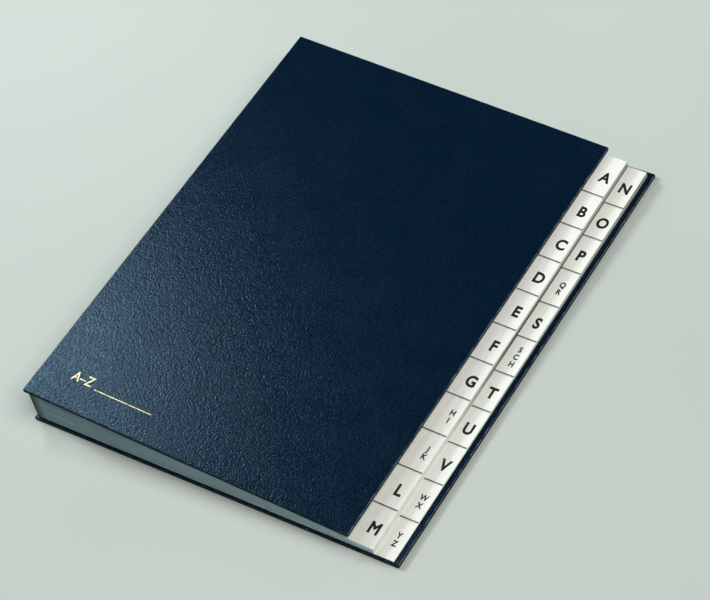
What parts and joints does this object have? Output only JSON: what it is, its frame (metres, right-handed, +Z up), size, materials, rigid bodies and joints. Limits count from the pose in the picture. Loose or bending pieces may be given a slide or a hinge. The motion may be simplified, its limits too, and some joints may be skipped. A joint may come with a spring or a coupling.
{
  "type": "desk sorter",
  "caption": "Alphabetical desk sorter with navy leatherette covers, a stiff cloth-hinged spine and stair-cut card dividers that show white A to Z tabs in two columns.",
  "frame": {"origin": "middle of the back cover's underside, which lies on the table", "axes": "+X from the spine to the tabs, +Y from the bottom edge to the top edge, +Z up from the table"},
  "size_m": [0.275, 0.34, 0.0319],
  "materials": {
    "leatherette": "fine pebble grain",
    "greyboard": "matt",
    "lining": "matt",
    "cloth": "plain weave",
    "spine_board": "matt",
    "card": "matt",
    "label": "satin laminate"
  },
  "bodies": {
    "back_cover": {"back_board": "greyboard", "back_leatherette": "leatherette", "back_lining": "lining", "back_hinge_flap": "cloth"},
    "spine": {"spine_cloth": "cloth", "spine_liner": "spine_board", "binding_stubs": "card"},
    "front_cover": {"front_board": "greyboard", "front_leatherette": "leatherette", "front_lining": "lining", "front_hinge_flap": "cloth"},
    "leaf_a": {"divider_a": "card", "tab_a": "label"},
    "leaf_b": {"divider_b": "card", "tab_b": "label"},
    "leaf_c": {"divider_c": "card", "tab_c": "label"},
    "leaf_d": {"divider_d": "card", "tab_d": "label"},
    "leaf_e": {"divider_e": "card", "tab_e": "label"},
    "leaf_f": {"divider_f": "card", "tab_f": "label"},
    "leaf_g": {"divider_g": "card", "tab_g": "label"},
    "leaf_hi": {"divider_hi": "card", "tab_hi": "label"},
    "leaf_jk": {"divider_jk": "card", "tab_jk": "label"},
    "leaf_l": {"divider_l": "card", "tab_l": "label"},
    "leaf_m": {"divider_m": "card", "tab_m": "label"},
    "leaf_n": {"divider_n": "card", "tab_n": "label"},
    "leaf_o": {"divider_o": "card", "tab_o": "label"},
    "leaf_p": {"divider_p": "card", "tab_p": "label"},
    "leaf_qr": {"divider_qr": "card", "tab_qr": "label"},
    "leaf_s": {"divider_s": "card", "tab_s": "label"},
    "leaf_sch": {"divider_sch": "card", "tab_sch": "label"},
    "leaf_t": {"divider_t": "card", "tab_t": "label"},
    "leaf_u": {"divider_u": "card", "tab_u": "label"},
    "leaf_v": {"divider_v": "card", "tab_v": "label"},
    "leaf_wx": {"divider_wx": "card", "tab_wx": "label"},
    "leaf_yz": {"divider_yz": "card", "tab_yz": "label"}
  },
  "joints": [
    {"name": "spine_fold", "type": "hinge", "parent": "back_cover", "child": "spine", "pos_m": [-0.1355, 0, 0.00263], "axis": [0, -1, 0], "range_deg": [0, 90]},
    {"name": "front_cover_hinge", "type": "hinge", "parent": "spine", "child": "front_cover", "pos_m": [-0.1355, 0, 0.02918], "axis": [0, -1, 0], "range_deg": [0, 93.9]},
    {"name": "leaf_a_hinge", "type": "hinge", "parent": "spine", "child": "leaf_a", "pos_m": [-0.125, 0, 0.02774], "axis": [0, -1, 0], "range_deg": [-80, 80]},
    {"name": "leaf_b_hinge", "type": "hinge", "parent": "spine", "child": "leaf_b", "pos_m": [-0.125, 0, 0.02658], "axis": [0, -1, 0], "range_deg": [-80, 80]},
    {"name": "leaf_c_hinge", "type": "hinge", "parent": "spine", "child": "leaf_c", "pos_m": [-0.125, 0, 0.02542], "axis": [0, -1, 0], "range_deg": [-80, 80]},
    {"name": "leaf_d_hinge", "type": "hinge", "parent": "spine", "child": "leaf_d", "pos_m": [-0.125, 0, 0.02426], "axis": [0, -1, 0], "range_deg": [-80, 80]},
    {"name": "leaf_e_hinge", "type": "hinge", "parent": "spine", "child": "leaf_e", "pos_m": [-0.125, 0, 0.0231], "axis": [0, -1, 0], "range_deg": [-80, 80]},
    {"name": "leaf_f_hinge", "type": "hinge", "parent": "spine", "child": "leaf_f", "pos_m": [-0.125, 0, 0.02194], "axis": [0, -1, 0], "range_deg": [-80, 80]},
    {"name": "leaf_g_hinge", "type": "hinge", "parent": "spine", "child": "leaf_g", "pos_m": [-0.125, 0, 0.02078], "axis": [0, -1, 0], "range_deg": [-80, 80]},
    {"name": "leaf_hi_hinge", "type": "hinge", "parent": "spine", "child": "leaf_hi", "pos_m": [-0.125, 0, 0.01962], "axis": [0, -1, 0], "range_deg": [-80, 80]},
    {"name": "leaf_jk_hinge", "type": "hinge", "parent": "spine", "child": "leaf_jk", "pos_m": [-0.125, 0, 0.01846], "axis": [0, -1, 0], "range_deg": [-80, 80]},
    {"name": "leaf_l_hinge", "type": "hinge", "parent": "spine", "child": "leaf_l", "pos_m": [-0.125, 0, 0.0173], "axis": [0, -1, 0], "range_deg": [-80, 80]},
    {"name": "leaf_m_hinge", "type": "hinge", "parent": "spine", "child": "leaf_m", "pos_m": [-0.125, 0, 0.01614], "axis": [0, -1, 0], "range_deg": [-80, 80]},
    {"name": "leaf_n_hinge", "type": "hinge", "parent": "spine", "child": "leaf_n", "pos_m": [-0.125, 0, 0.01498], "axis": [0, -1, 0], "range_deg": [-80, 80]},
    {"name": "leaf_o_hinge", "type": "hinge", "parent": "spine", "child": "leaf_o", "pos_m": [-0.125, 0, 0.01382], "axis": [0, -1, 0], "range_deg": [-80, 80]},
    {"name": "leaf_p_hinge", "type": "hinge", "parent": "spine", "child": "leaf_p", "pos_m": [-0.125, 0, 0.01266], "axis": [0, -1, 0], "range_deg": [-80, 80]},
    {"name": "leaf_qr_hinge", "type": "hinge", "parent": "spine", "child": "leaf_qr", "pos_m": [-0.125, 0, 0.0115], "axis": [0, -1, 0], "range_deg": [-80, 80]},
    {"name": "leaf_s_hinge", "type": "hinge", "parent": "spine", "child": "leaf_s", "pos_m": [-0.125, 0, 0.01034], "axis": [0, -1, 0], "range_deg": [-80, 80]},
    {"name": "leaf_sch_hinge", "type": "hinge", "parent": "spine", "child": "leaf_sch", "pos_m": [-0.125, 0, 0.00918], "axis": [0, -1, 0], "range_deg": [-80, 80]},
    {"name": "leaf_t_hinge", "type": "hinge", "parent": "spine", "child": "leaf_t", "pos_m": [-0.125, 0, 0.00802], "axis": [0, -1, 0], "range_deg": [-80, 80]},
    {"name": "leaf_u_hinge", "type": "hinge", "parent": "spine", "child": "leaf_u", "pos_m": [-0.125, 0, 0.00686], "axis": [0, -1, 0], "range_deg": [-80, 80]},
    {"name": "leaf_v_hinge", "type": "hinge", "parent": "spine", "child": "leaf_v", "pos_m": [-0.125, 0, 0.0057], "axis": [0, -1, 0], "range_deg": [-80, 80]},
    {"name": "leaf_wx_hinge", "type": "hinge", "parent": "spine", "child": "leaf_wx", "pos_m": [-0.125, 0, 0.00454], "axis": [0, -1, 0], "range_deg": [-80, 80]},
    {"name": "leaf_yz_hinge", "type": "hinge", "parent": "spine", "child": "leaf_yz", "pos_m": [-0.125, 0, 0.00338], "axis": [0, -1, 0], "range_deg": [-80, 80]}
  ],
  "couplings": [
    {"joint": "leaf_a_hinge", "follows": "spine_fold", "ratio": -0.088889},
    {"joint": "leaf_b_hinge", "follows": "spine_fold", "ratio": -0.12275},
    {"joint": "leaf_c_hinge", "follows": "spine_fold", "ratio": -0.15661},
    {"joint": "leaf_d_hinge", "follows": "spine_fold", "ratio": -0.19048},
    {"joint": "leaf_e_hinge", "follows": "spine_fold", "ratio": -0.22434},
    {"joint": "leaf_f_hinge", "follows": "spine_fold", "ratio": -0.2582},
    {"joint": "leaf_g_hinge", "follows": "spine_fold", "ratio": -0.29206},
    {"joint": "leaf_hi_hinge", "follows": "spine_fold", "ratio": -0.32593},
    {"joint": "leaf_jk_hinge", "follows": "spine_fold", "ratio": -0.35979},
    {"joint": "leaf_l_hinge", "follows": "spine_fold", "ratio": -0.39365},
    {"joint": "leaf_m_hinge", "follows": "spine_fold", "ratio": -0.42751},
    {"joint": "leaf_n_hinge", "follows": "spine_fold", "ratio": -0.46138},
    {"joint": "leaf_o_hinge", "follows": "spine_fold", "ratio": -0.49524},
    {"joint": "leaf_p_hinge", "follows": "spine_fold", "ratio": -0.5291},
    {"joint": "leaf_qr_hinge", "follows": "spine_fold", "ratio": -0.56296},
    {"joint": "leaf_s_hinge", "follows": "spine_fold", "ratio": -0.59683},
    {"joint": "leaf_sch_hinge", "follows": "spine_fold", "ratio": -0.63069},
    {"joint": "leaf_t_hinge", "follows": "spine_fold", "ratio": -0.66455},
    {"joint": "leaf_u_hinge", "follows": "spine_fold", "ratio": -0.69841},
    {"joint": "leaf_v_hinge", "follows": "spine_fold", "ratio": -0.73228},
    {"joint": "leaf_wx_hinge", "follows": "spine_fold", "ratio": -0.76614},
    {"joint": "leaf_yz_hinge", "follows": "spine_fold", "ratio": -0.8}
  ]
}
